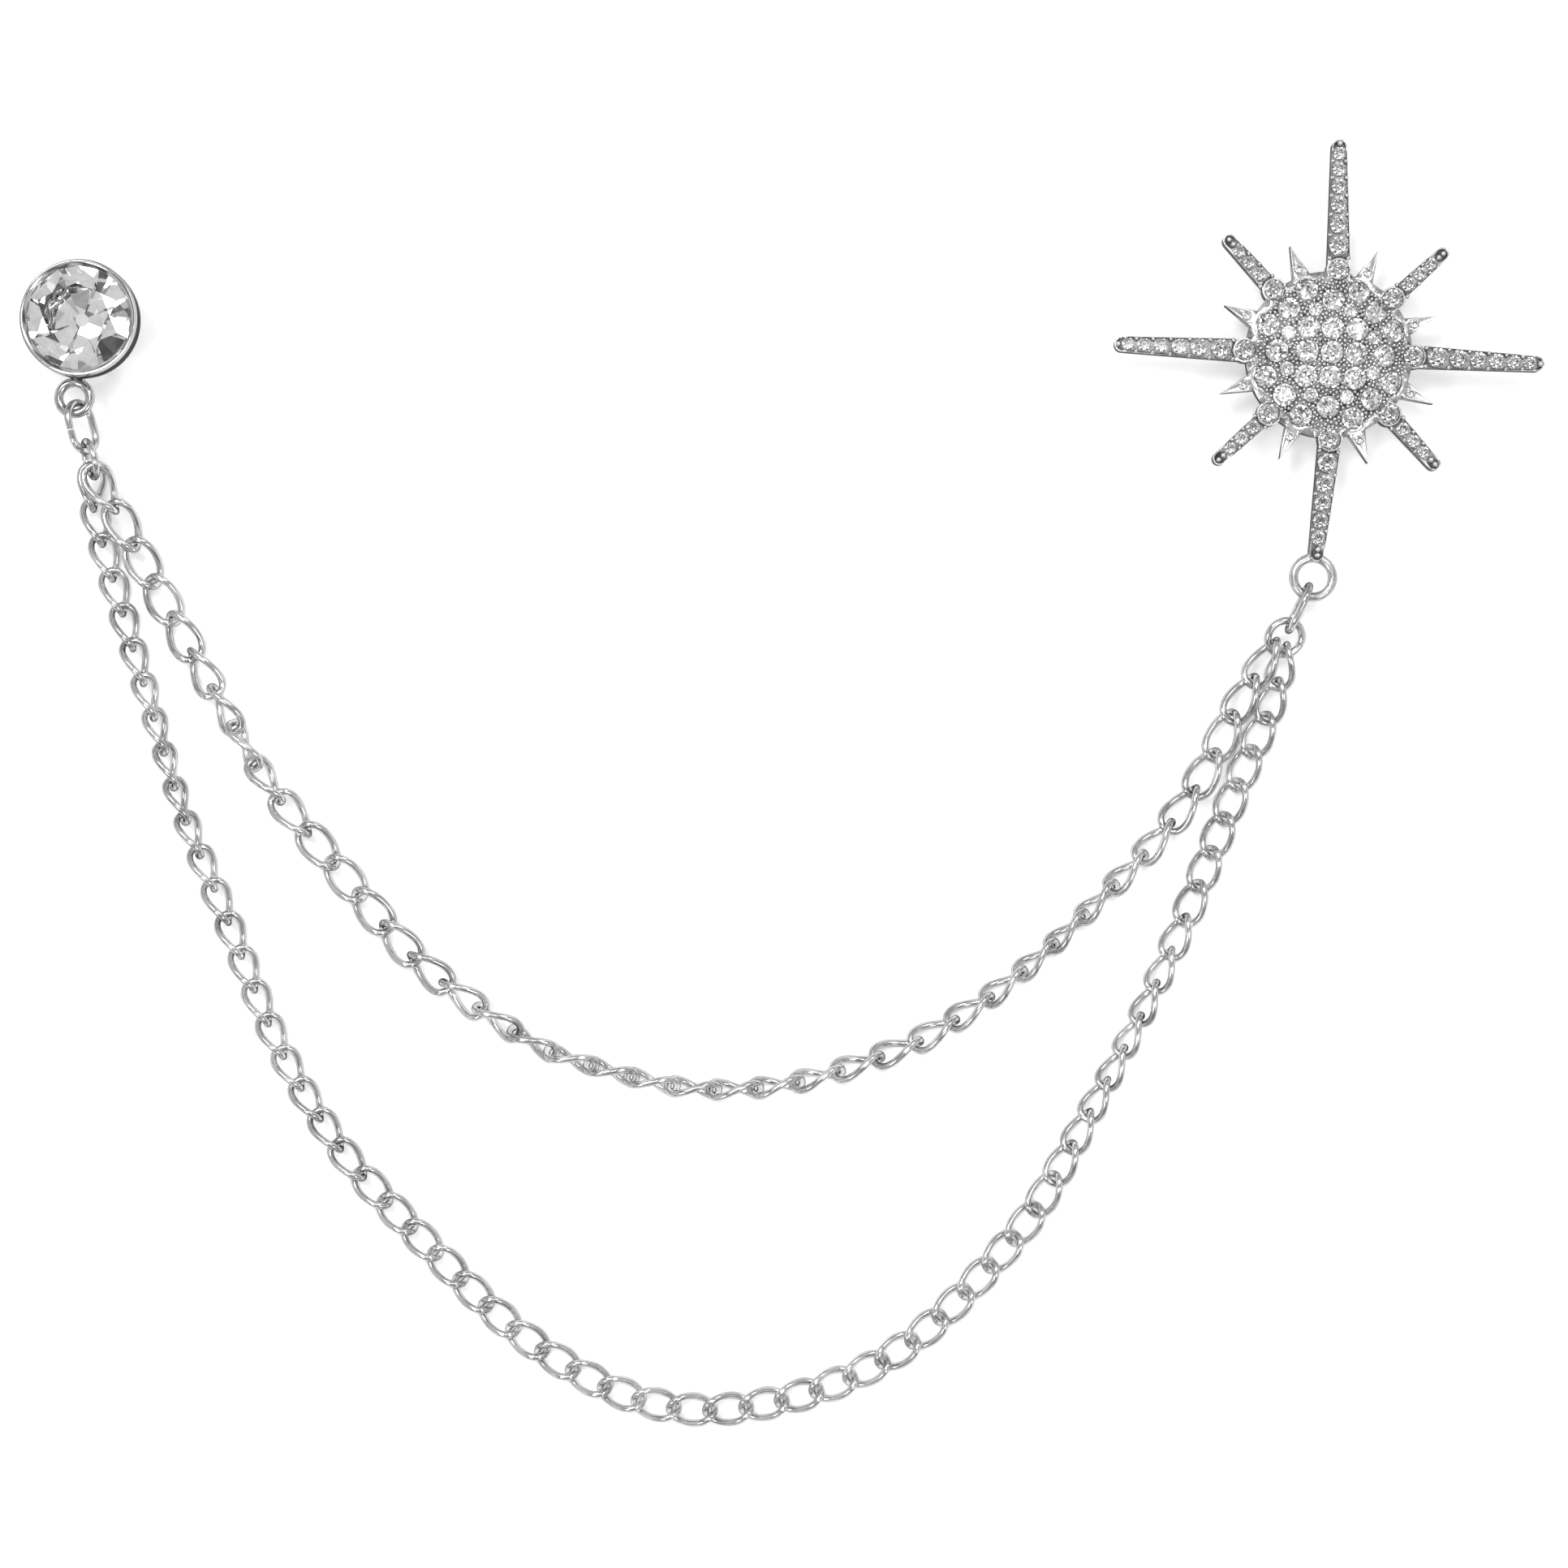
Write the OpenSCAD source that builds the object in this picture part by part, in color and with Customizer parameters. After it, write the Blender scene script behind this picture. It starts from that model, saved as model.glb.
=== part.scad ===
// Lapel chain: a round stone stud and a jewelled star brooch joined by two strands of twisted chain.
// The jewel lies face up on a surface at z = 0, and all sizes are in millimetres.

/* [Stud] */
// Diameter of the stud's round stone
stone_d = 10.5; // [8.5:0.1:12.5]
// Thickness of the cup's wall beside the stone
cup_wall = 0.62; // [0.5:0.02:0.9]
// Thickness of the cup's back
cup_floor = 0.5; // [0.4:0.05:1]
// How much smaller the cup's radius is at its back than at its rim
cup_taper = 0.45; // [0.2:0.05:0.7]
// Height of the cup's lip above the stone's widest line
lip_h = 0.55; // [0.4:0.05:0.8]
// Space between the stone and the cup
stone_fit = 0.06; // [0.04:0.01:0.12]

/* [Star] */
// Length of a long ray, from the star's centre to the tip
ray_len = 21.8; // [19:0.1:25]
// Length of the long ray that carries the eye, from the star's centre to its tip
eye_ray_len = 21; // [18.5:0.1:24]
// Width of a long ray at the dome
ray_base_w = 2.5; // [2:0.05:2.8]
// Width of a long ray at its tip
ray_tip_w = 1.55; // [1.3:0.05:1.8]
// Length of a middle ray, from the star's centre to the tip
mid_len = 16; // [14:0.1:18]
// Width of a middle ray beyond its first stone
mid_base_w = 1.9; // [1.5:0.05:2.2]
// Width of a middle ray at its tip
mid_tip_w = 1.4; // [1.1:0.05:1.5]
// Height of the long and middle rays
ray_h = 1.6; // [1.4:0.05:2.2]
// Length of a small spike, from the star's centre to its point
spike_len = 11.7; // [11:0.1:13.5]
// Width of a small spike at the dome
spike_w = 1.75; // [1.6:0.05:2.2]
// Height of a small spike
spike_h = 1.35; // [1.2:0.05:1.6]
// Diameter of the dome
dome_d = 16.9; // [16:0.1:18]
// Height of the dome's upright rim
dome_rim_h = 1.3; // [1.1:0.05:1.8]
// Height of the dome in the middle, above the star's back
dome_h = 3.7; // [3.4:0.1:4.6]
// Turn of the star on the surface, in degrees
star_turn = -2.9; // [-10:0.1:10]

/* [Star stones] */
// Diameter of a round stone on the dome
dome_stone_d = 2.2; // [1.8:0.05:2.2]
// Spacing of the nine stones in the middle of the dome
dome_pitch = 2.5; // [2.45:0.05:2.6]
// Diameter of a small stone between the dome's stones
filler_d = 1.35; // [0.8:0.05:1.4]
// Diameter of the stone at the foot of a long or middle ray
foot_stone_d = 2; // [1.6:0.05:2.1]
// Diameter of the stone on a small spike
spike_stone_d = 0.9; // [0.7:0.05:1]
// Metal left on each side of a stone in a ray
ray_edge = 0.17; // [0.14:0.01:0.25]
// Space between neighbouring stones in a ray
ray_stone_gap = 0.25; // [0.2:0.01:0.4]
// Metal past the last stone of a ray
ray_end = 0.35; // [0.25:0.05:0.6]
// Space between a small stone and its seat
seat_fit = 0.06; // [0.04:0.01:0.1]

/* [Chain] */
// Length of a link of the outer chain
outer_link_len = 5.3; // [5:0.05:5.8]
// Width of a link of the outer chain
outer_link_w = 3.45; // [3.3:0.05:3.8]
// Wire diameter of the outer chain
outer_wire = 0.7; // [0.6:0.02:0.76]
// Length of a link of the inner chain
inner_link_len = 5.95; // [5.6:0.05:6.5]
// Width of a link of the inner chain
inner_link_w = 3.75; // [3.6:0.05:4.2]
// Wire diameter of the inner chain
inner_wire = 0.74; // [0.64:0.02:0.82]
// Twist from the middle of a link to each end, in degrees
link_twist = 46; // [43:1:48]
// Free space between two links where they hook together
link_play = 0.15; // [0.14:0.01:0.2]

/* [Rings] */
// Outer diameter of the eye that is soldered to the stud
stud_eye_d = 4.1; // [3.8:0.1:4.6]
// Outer diameter of the eye that is soldered to the star
star_eye_d = 4.9; // [4.4:0.1:5.4]
// Wire diameter of the eyes
eye_wire = 0.94; // [0.8:0.02:1]
// Outer length of the oval joining link
joiner_len = 5.75; // [5.5:0.05:6.4]
// Outer width of the oval joining link
joiner_w = 4.1; // [3.8:0.05:4.6]
// Wire diameter of the joining link and the round ring
ring_wire = 0.76; // [0.7:0.02:0.86]
// Outer diameter of the round ring that holds both chains
ring_d = 4.4; // [4.2:0.05:4.9]
// Free space where the rings and the joining link hook together
ring_play = 0.2; // [0.15:0.01:0.3]
// Free space where the first link of a chain hooks on its round ring
hook_play = 0.33; // [0.3:0.01:0.38]

/* [Backs] */
// Height of the stud's and the star's back above the surface
back_z = 3.2; // [3:0.1:5]
// Diameter of the clutch on each post
clutch_d = 9.8; // [8:0.1:10.5]
// Height of the clutch
clutch_h = 2.2; // [1.8:0.1:2.3]
// Diameter of the post
post_d = 1.2; // [0.8:0.05:1.6]
// Diameter of the pad at the top of the post
pad_d = 5; // [3:0.1:7]
// Space between the pad and the back that it is fixed to
pad_gap = 0.05; // [0.03:0.01:0.1]

/* [Hidden] */

silver = [0.80, 0.81, 0.83];
crystal = [0.90, 0.93, 0.96];

X = 0;
Y = 1;
// Each row below holds a value for the stud's end and one for the star's end
STUD = 0;
STAR = 1;
// Place of the round ring on the surface, and the direction and slope from it up to its eye
ring_at = [[-70.5, 33.0], [51.0, 14.9]];
lead = [104, 66];
lead_slope = [5, 14];
// Roll of the round ring and of the joining link about that direction, where 0 lies flat
ring_roll = [-68, 18];
joiner_roll = [56, 90];
// Angle round the round ring, away from its eye, at which a chain hooks on
outer_hook = [30, -26];
inner_hook = [-13, 26];
// Length of chain over which a strand comes down to the surface
outer_landing = [4.5, 5];
inner_landing = [14, 22];
// Direction from the stud's eye to the middle of the stud
stud_way = 82;
// Height of the eyes above the backs
eye_lift = 0.65;
// Space between the stud's eye and the foot of the cup, and the width of the tab that bridges it
stud_eye_gap = 0.25;
tab_w = 1.6;
// Depth to which the star's eye is sunk in the end of its ray
star_eye_sink = 0.4;
// Rays of the hand-made star: how far the line of each passes to the left of the star's centre, as
// seen along it, and its direction
SIDE = 0;
DIR = 1;
long_rays = [[0.3, -0.5], [-0.9, 92.5], [0, 180], [1.1, 266.2]];
mid_rays = [[-0.15, 45], [-0.25, 135], [0.35, 225], [0.45, 315]];
// The long ray that carries the eye
EYE_RAY = 3;

// Routes of the chains over the surface: places of chosen points, and the roll of the links there
// as seen along the chain, where 0 shows a link's open side and 90 its edge
ROLL = 2;
outer_route = [
  [-70.5, 28.9, -52], [-70.1, 26.4, -48], [-68.0, 19.0, -50], [-66.5, 13.9, -58], [-64.8, 8.4, -66],
  [-63.2, 3.0, -74], [-61.5, -2.5, -74], [-59.4, -7.8, -60], [-57.0, -13.5, -50], [-51.5, -27.0, -50],
  [-45.5, -37.0, -42], [-41.8, -41.4, -16], [-37.5, -46.0, -16], [-26.0, -57.0, 0], [-13.0, -63.5, -5],
  [0.0, -63.0, 0], [12.5, -57.5, 0], [23.5, -46.5, 0], [27.6, -40.3, -26], [31.0, -34.0, -48],
  [34.1, -28.2, -60], [37.0, -22.5, -60], [39.9, -16.2, -42], [42.5, -10.0, -16],
  [46.8, 1.0, -12], [48.3, 4.4, -18], [49.7, 7.8, -32], [50.6, 11.0, -45]
];
inner_route = [
  [-68.5, 28.7, -45], [-66.8, 25.3, -22], [-62.7, 17.3, 5], [-58.3, 9.7, 48], [-55.3, 4.5, 82],
  [-52.8, 0.2, 112], [-47.0, -7.0, 163], [-39.0, -16.5, 205], [-35.1, -20.0, 218], [-31.0, -23.0, 238],
  [-26.8, -25.7, 256], [-22.0, -28.0, 264], [-10.0, -31.0, 271], [1.0, -30.5, 278], [12.0, -27.0, 297],
  [17.1, -24.3, 297], [22.0, -21.0, 288], [27.0, -16.8, 280], [31.5, -12.5, 278], [38.0, -5.8, 300],
  [42.4, 0.1, 328], [44.5, 4.2, 338], [46.2, 7.9, 328], [48.2, 11.2, 316]
];
// Number of straight pieces round a link, sides of its wire, and route steps between two points
link_steps = 12;
wire_sides = 5;
route_steps = 10;
round_fn = 48;
fine_fn = 24;

// Small vector helpers
function unit(v) = v / norm(v);
function flat_dir(a) = [cos(a), sin(a), 0];
function lift_dir(a, slope) = [cos(a) * cos(slope), sin(a) * cos(slope), sin(slope)];
function place(p, c, u, v, w) = c + p[0] * u + p[1] * v + p[2] * w;

// Stone: a table, a crown and a pavilion cut with the same number of facets
stone_table = 0.56;
stone_crown = 0.15;
stone_pavilion = 0.40;
stone_facets = 8;
function stone_points(d) = concat(
  [[0, 0, -stone_pavilion * d]],
  [for (k = [0:stone_facets - 1]) d / 2 * [cos(360 * k / stone_facets), sin(360 * k / stone_facets), 0]],
  [for (k = [0:stone_facets - 1]) let (a = 360 * k / stone_facets)
    [stone_table * d / 2 * cos(a), stone_table * d / 2 * sin(a), stone_crown * d]]
);
function stone_faces(o) = let (n = stone_facets) concat(
  [for (k = [0:n - 1]) [o, o + 1 + k, o + 1 + (k + 1) % n]],
  [for (k = [0:n - 1]) [o + 1 + k, o + 1 + n + k, o + 1 + (k + 1) % n]],
  [for (k = [0:n - 1]) [o + 1 + (k + 1) % n, o + 1 + n + k, o + 1 + n + (k + 1) % n]],
  [for (k = [1:n - 2]) [o + 1 + n, o + 1 + n + k + 1, o + 1 + n + k]]
);

// Main stone of the stud: a full brilliant with star, bezel and girdle facets
main_table = 0.54;
main_crown = 0.135;
main_girdle = 0.02;
main_pavilion = 0.33;
main_star = 0.76;
main_lower = 0.42;
main_n = 8;
function ring_points(r, z, n, start) =
  [for (k = [0:n - 1]) [r * cos(start + 360 * k / n), r * sin(start + 360 * k / n), z]];
function main_points(d) = concat(
  ring_points(main_table * d / 2, (main_girdle + main_crown) * d, main_n, 0),
  ring_points(main_star * d / 2, (main_girdle + main_crown * 0.56) * d, main_n, 180 / main_n),
  ring_points(d / 2, main_girdle * d, 2 * main_n, 0),
  ring_points(d / 2, 0, 2 * main_n, 0),
  ring_points(main_lower * d / 2, -0.62 * main_pavilion * d, main_n, 0),
  [[0, 0, -main_pavilion * d]]
);
function main_faces() = let (n = main_n, s = n, g = 2 * n, h = 4 * n, l = 6 * n, c = 7 * n) concat(
  [for (k = [1:n - 2]) [0, k + 1, k]],
  [for (k = [0:n - 1]) [k, (k + 1) % n, s + k]],
  [for (k = [0:n - 1]) [s + k, (k + 1) % n, s + (k + 1) % n]],
  [for (k = [0:n - 1]) [s + k, s + (k + 1) % n, g + (2 * k + 2) % (2 * n)]],
  [for (k = [0:n - 1]) [s + k, g + 2 * k + 1, g + 2 * k]],
  [for (k = [0:n - 1]) [s + k, g + (2 * k + 2) % (2 * n), g + 2 * k + 1]],
  [for (k = [0:2 * n - 1]) [g + k, g + (k + 1) % (2 * n), h + k]],
  [for (k = [0:2 * n - 1]) [h + k, g + (k + 1) % (2 * n), h + (k + 1) % (2 * n)]],
  [for (k = [0:n - 1]) [l + k, h + 2 * k, h + 2 * k + 1]],
  [for (k = [0:n - 1]) [l + (k + 1) % n, h + 2 * k + 1, h + (2 * k + 2) % (2 * n)]],
  [for (k = [0:n - 1]) [l + k, h + 2 * k + 1, l + (k + 1) % n]],
  [for (k = [0:n - 1]) [c, l + k, l + (k + 1) % n]]
);

// Rings and the leads from the chains up to the eyes, worked out from the round rings outward
function eye_r(d) = (d - eye_wire) / 2;
ring_r = (ring_d - ring_wire) / 2;
joiner_r = (joiner_w - ring_wire) / 2;
joiner_half = (joiner_len - ring_wire) / 2;
ring_joint = ring_wire + ring_play;
eye_joint = (ring_wire + eye_wire) / 2 + ring_play;
joiner_out = ring_r - ring_joint + joiner_half;
eye_out = joiner_out + joiner_half - eye_joint;
eye_z = back_z + eye_lift;
function ahead(e) = lift_dir(lead[e], lead_slope[e]);
function across(e) = flat_dir(lead[e] + 90);
function rolled(e) = cos(ring_roll[e]) * across(e) + sin(ring_roll[e]) * cross(ahead(e), across(e));
function ring_mid(e) = [ring_at[e][X], ring_at[e][Y], eye_z - eye_out * sin(lead_slope[e])];
function joiner_mid(e) = ring_mid(e) + joiner_out * ahead(e);
function eye_mid(e, d) = ring_mid(e) + eye_out * ahead(e) + eye_r(d) * flat_dir(lead[e]);
function hook(e, a) = ring_mid(e) - ring_r * cos(a[e]) * ahead(e) + ring_r * sin(a[e]) * rolled(e);

// Stud and star places, worked out from the eyes
cup_r = stone_d / 2 + stone_fit + cup_wall;
stone_z = cup_floor + stone_fit + main_pavilion * stone_d;
cup_h = stone_z + main_girdle * stone_d + lip_h;
stud_eye = eye_mid(STUD, stud_eye_d);
star_eye = eye_mid(STAR, star_eye_d);
stud_mid = stud_eye + (cup_r - cup_taper + stud_eye_d / 2 + stud_eye_gap) * flat_dir(stud_way);
star_mid = star_eye - long_rays[EYE_RAY][SIDE] * flat_dir(star_turn + long_rays[EYE_RAY][DIR] + 90)
  - (eye_ray_len + eye_r(star_eye_d) - star_eye_sink) * flat_dir(star_turn + long_rays[EYE_RAY][DIR]);

// Links: a flat oval whose ends are twisted opposite ways about its length
link_square = 0.8;
function signed_pow(v, e) = sign(v) * pow(abs(v), e);
function link_twist_at(t) = -link_twist * signed_pow(cos(t), link_square);
function link_line(t, half, wide) = let (a = link_twist_at(t), y = wide * signed_pow(sin(t), link_square))
  [half * signed_pow(cos(t), link_square), y * cos(a), y * sin(a)];
function link_section(t, half, wide, r) = let (
  along = unit(link_line(t + 4, half, wide) - link_line(t - 4, half, wide)),
  up = [0, -sin(link_twist_at(t)), cos(link_twist_at(t))],
  side = unit(cross(up, along)),
  top = cross(along, side)
) [for (k = [0:wire_sides - 1]) let (b = 360 * (k + 0.5) / wire_sides)
  link_line(t, half, wide) + r * (sin(b) * side + cos(b) * top)];
function link_shape(len, w, wire) = [for (j = [0:link_steps - 1])
  each link_section(360 * j / link_steps, (len - wire) / 2, (w - wire) / 2, wire / 2)];
function link_faces(o) = let (n = wire_sides, m = link_steps) [
  for (j = [0:m - 1]) for (k = [0:n - 1]) let (
    a = o + j * n + k,
    b = o + j * n + (k + 1) % n,
    c = o + ((j + 1) % m) * n + (k + 1) % n,
    d = o + ((j + 1) % m) * n + k
  ) each [[a, b, c], [a, c, d]]
];
// Height of a link's middle above the surface that it lies on, for its roll
function rest_z(roll, w, wire) = wire / 2 + (w - wire) / 2 * max([for (j = [0:link_steps - 1])
  let (t = 360 * j / link_steps) abs(signed_pow(sin(t), link_square) * sin(link_twist_at(t) + roll))]);

// A route is smoothed between its points and measured along its length
function smooth(p, i, t) = let (
  a = p[max(i - 1, 0)], b = p[i], c = p[i + 1], d = p[min(i + 2, len(p) - 1)]
) 0.5 * (2 * b + (c - a) * t + (2 * a - 5 * b + 4 * c - d) * t * t + (3 * b - a - 3 * c + d) * t * t * t);
function route_points(p) = concat(
  [for (i = [0:len(p) - 2]) for (j = [0:route_steps - 1]) smooth(p, i, j / route_steps)],
  [p[len(p) - 1]]
);
function flat(p) = [p[X], p[Y]];
function lengths(q) = [for (i = 0, s = 0; i < len(q); s = s + (i + 1 < len(q) ? norm(q[i + 1] - q[i]) : 0), i = i + 1) s];
function column(q, s, c) = [for (i = [0:len(q) - 1]) [s[i], q[i][c]]];
function with_roll(h, roll) = [h[X], h[Y], roll];

// Height along a chain: at rest on the surface, and lifted to its rings at both ends
function fade(s, landing) = s < landing ? pow(1 - max(s, 0) / landing, 2) : 0;
function chain_z(s, total, rest, z0, z1, landing) =
  rest + (z0 - rest) * fade(s, landing[0]) + (z1 - rest) * fade(total - s, landing[1]);

// All links of a chain between two hooks, spaced evenly and as tightly as their play allows
function chain_links(route, h0, h1, landing, len, w, wire) = let (
  path = route_points(concat([with_roll(h0, route[0][ROLL])], route, [with_roll(h1, route[len(route) - 1][ROLL])])),
  ground = lengths([for (p = path) flat(p)]),
  last = len(path) - 1,
  line = [for (i = [0:last]) [path[i][X], path[i][Y],
    chain_z(ground[i], ground[last], rest_z(path[i][ROLL], w, wire), h0[2], h1[2], landing)]],
  s = lengths(line),
  total = s[last],
  xs = column(line, s, 0), ys = column(line, s, 1), zs = column(line, s, 2), rolls = column(path, s, ROLL),
  first = (len - wire) / 2 - (ring_wire + wire) / 2 - hook_play,
  span = total - 2 * first,
  n = ceil(span / (len - 2 * wire - link_play)),
  at = function (v) [lookup(v, xs), lookup(v, ys), lookup(v, zs)],
  half = span / n / 2,
  shape = link_shape(len, w, wire)
) [for (i = [0:n]) let (
  v = first + i * span / n,
  a = i == 0 ? h0 : at(v - half),
  b = i == n ? h1 : at(v + half),
  along = unit(b - a),
  c = i == 0 ? b - half * along : i == n ? a + half * along : (a + b) / 2,
  side0 = unit(cross([0, 0, 1], along)),
  up0 = cross(along, side0),
  roll = lookup(v, rolls),
  side = cos(roll) * side0 + sin(roll) * up0,
  up = cos(roll) * up0 - sin(roll) * side0,
  points = [for (p = shape) place(p, c, along, side, up)],
  sunk = min([for (p = points) p[2]])
) [for (p = points) p - [0, 0, min(sunk, 0)]]];
module chain(links) {
  n = len(links[0]);
  polyhedron(
    points = [for (l = links) each l],
    faces = [for (i = [0:len(links) - 1]) each link_faces(i * n)]
  );
}

// Seats on the star: place beside the line of its ray, direction, distance along it, stone diameter
// and whether on the dome
DIST = 2;
DIAM = 3;
ON_DOME = 4;
dome_r = dome_d / 2;
dome_ball_r = (dome_r * dome_r + pow(dome_h - dome_rim_h, 2)) / (2 * (dome_h - dome_rim_h));
ring_axis_share = 0.65;
ring_diag_share = 0.745;
ring_mid_share = 0.825;
filler_share = 0.565;
foot_dist = dome_r + 0.1;
spike_stone_dist = dome_r + 0.75;
foot_gap = 0.45;
function polar(x, y, d) = [0, atan2(y, x), norm([x, y]), d, true];
dome_seats = concat(
  [for (i = [-1:1]) for (j = [-1:1]) polar(i * dome_pitch, j * dome_pitch, dome_stone_d)],
  [for (k = [0:15]) [0, 22.5 * k,
    dome_r * (k % 4 == 0 ? ring_axis_share : k % 4 == 2 ? ring_diag_share : ring_mid_share),
    dome_stone_d, true]],
  [for (k = [0:7]) [0, 22.5 + 45 * k, filler_share * dome_r, filler_d, true]]
);
// A row of stones along a ray, each as wide as the ray leaves it, and as many as fit
function row(len, w0, w1) = let (
  fall = (w0 - w1) / (len - dome_r),
  start = foot_dist + foot_stone_d / 2 + foot_gap,
  wide = function (r) w0 - fall * (r - dome_r) - 2 * ray_edge,
  first = (start + (wide(0)) / 2) / (1 + fall / 2)
) [for (r = first; r + wide(r) / 2 + ray_end < len; r = r + (wide(r) + ray_stone_gap) / (1 + fall / 2))
  [r, wide(r)]];
function long_len(k) = k == EYE_RAY ? eye_ray_len : ray_len;
ray_seats = concat(
  [for (r = concat(long_rays, mid_rays)) [r[SIDE], r[DIR], foot_dist, foot_stone_d, false]],
  [for (k = [0:3]) for (s = row(long_len(k), ray_base_w, ray_tip_w)) concat(long_rays[k], s, false)],
  [for (k = [0:3]) for (s = row(mid_len, mid_base_w, mid_tip_w)) concat(mid_rays[k], s, false)],
  [for (k = [0:7]) [0, 45 * k + 22.5, spike_stone_dist, spike_stone_d, false]]
);
stone_sink = 0.08;
groove = 0.2;
function seat_tilt(s) = s[ON_DOME] ? asin(s[DIST] / dome_ball_r) : 0;
function seat_top(s) = s[ON_DOME] ? dome_h - dome_ball_r + dome_ball_r * cos(seat_tilt(s)) - stone_sink
  : (s[DIAM] == spike_stone_d ? spike_h : ray_h - groove) + stone_sink;
function seat_at(s) = s[DIST] * flat_dir(s[DIR]) + s[SIDE] * flat_dir(s[DIR] + 90) + [0, 0, seat_top(s)];
function seat_up(s) = [sin(seat_tilt(s)) * cos(s[DIR]), sin(seat_tilt(s)) * sin(s[DIR]), cos(seat_tilt(s))];
function seat_out(s) = [cos(seat_tilt(s)) * cos(s[DIR]), cos(seat_tilt(s)) * sin(s[DIR]), -sin(seat_tilt(s))];
function set_stone(s) = let (u = seat_out(s), w = seat_up(s), v = cross(w, u))
  [for (p = stone_points(s[DIAM])) place(p, seat_at(s), u, v, w)];
module stones(seats) {
  n = 2 * stone_facets + 1;
  polyhedron(
    points = [for (s = seats) each set_stone(s)],
    faces = [for (i = [0:len(seats) - 1]) each stone_faces(i * n)]
  );
}
seat_open = 1.2;
module seat(s) {
  r = s[DIAM] / 2 + seat_fit;
  translate(seat_at(s)) rotate([0, seat_tilt(s), s[DIR]]) rotate_extrude($fn = fine_fn)
    polygon([[0, -stone_pavilion * s[DIAM] - seat_fit], [r, 0], [r, seat_open], [0, seat_open]]);
}

// Rounded bar outline along +X, from one distance to another, with a round end
module ray_outline(from, len, w0, w1, end_steps = 8) {
  r = w1 / 2;
  polygon(concat(
    [[from, -w0 / 2]],
    [for (k = [0:end_steps]) let (a = -90 + 180 * k / end_steps) [len - r + r * cos(a), r * sin(a)]],
    [[from, w0 / 2]]
  ));
}
module ray(len, w0, w1) {
  difference() {
    linear_extrude(height = ray_h) ray_outline(dome_r / 2, len, w0, w1);
    translate([0, 0, ray_h - groove]) linear_extrude(height = 1)
      ray_outline(foot_dist + foot_stone_d / 2, len - ray_edge, w0 - 2 * ray_edge, w1 - 2 * ray_edge);
  }
}
module spike() {
  linear_extrude(height = spike_h) polygon([
    [dome_r / 2, -spike_w / 2], [dome_r, -spike_w / 2], [spike_len, 0], [dome_r, spike_w / 2],
    [dome_r / 2, spike_w / 2]
  ]);
}
module wire_ring(d, wire) {
  rotate_extrude($fn = round_fn) translate([(d - wire) / 2, 0]) circle(d = wire, $fn = fine_fn);
}
// Upright oval link: two half rings joined by straight wires, long along X
module oval_link() {
  straight = joiner_half - joiner_r;
  for (side = [0, 1]) rotate([0, 0, 180 * side]) {
    translate([straight, 0, 0]) rotate([0, 0, -90]) rotate_extrude(angle = 180, $fn = round_fn)
      translate([joiner_r, 0]) circle(d = ring_wire, $fn = fine_fn);
    translate([-straight, joiner_r, 0]) rotate([0, 90, 0])
      cylinder(d = ring_wire, h = 2 * straight, $fn = fine_fn);
  }
}
module joiner(e) {
  translate(joiner_mid(e)) rotate([joiner_roll[e], -lead_slope[e], lead[e]]) oval_link();
}
module round_ring(e) {
  translate(ring_mid(e)) rotate([ring_roll[e], -lead_slope[e], lead[e]]) wire_ring(ring_d, ring_wire);
}
// Post with a pad at its top and a round clutch pushed on below, in one piece
module tack() {
  bevel = 0.4;
  collar = 0.3;
  pad_h = 0.3;
  top = back_z - pad_gap;
  rotate_extrude($fn = round_fn) polygon([
    [0, 0], [clutch_d / 2 - bevel, 0], [clutch_d / 2, bevel], [clutch_d / 2, clutch_h - bevel],
    [clutch_d / 2 - bevel, clutch_h], [post_d, clutch_h], [post_d, clutch_h + collar],
    [post_d / 2, clutch_h + collar], [post_d / 2, top - pad_h], [pad_d / 2, top - pad_h],
    [pad_d / 2, top], [0, top]
  ]);
}

module stud_cup() {
  color(silver) {
    translate([stud_mid[0], stud_mid[1], back_z]) rotate_extrude($fn = round_fn) polygon([
      [0, 0], [cup_r - cup_taper, 0], [cup_r, 0.55 * stone_z], [cup_r, cup_h - lip_h * 0.5],
      [cup_r - cup_wall * 0.45, cup_h], [cup_r - cup_wall, cup_h],
      [cup_r - cup_wall - stone_fit * 2.5, cup_h - lip_h * 0.3], [cup_r - cup_wall, cup_h - lip_h * 0.6],
      [cup_r - cup_wall, stone_z], [0.25, cup_floor], [0, cup_floor]
    ]);
    translate(stud_eye) wire_ring(stud_eye_d, eye_wire);
    tab_h = eye_wire * 0.7;
    translate(stud_eye) rotate([0, 0, stud_way])
      translate([stud_eye_d / 2 - tab_h, -tab_w / 2, -tab_h / 2])
      cube([tab_h + 2 * stud_eye_gap, tab_w, tab_h]);
  }
}
module stud_stone() {
  color(crystal) translate([stud_mid[0], stud_mid[1], back_z + stone_z])
    polyhedron(points = main_points(stone_d), faces = main_faces());
}
module stud_tack() {
  color(silver) translate([stud_mid[0], stud_mid[1], 0]) tack();
}
module stud_joiner() {
  color(silver) joiner(STUD);
}
module stud_ring() {
  color(silver) round_ring(STUD);
}
module outer_chain() {
  color(silver) chain(chain_links(
    outer_route, hook(STUD, outer_hook), hook(STAR, outer_hook), outer_landing,
    outer_link_len, outer_link_w, outer_wire
  ));
}
module inner_chain() {
  color(silver) chain(chain_links(
    inner_route, hook(STUD, inner_hook), hook(STAR, inner_hook), inner_landing,
    inner_link_len, inner_link_w, inner_wire
  ));
}
module star_ring() {
  color(silver) round_ring(STAR);
}
module star_joiner() {
  color(silver) joiner(STAR);
}
module on_ray(r) {
  rotate([0, 0, r[DIR]]) translate([0, r[SIDE], 0]) children();
}
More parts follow.
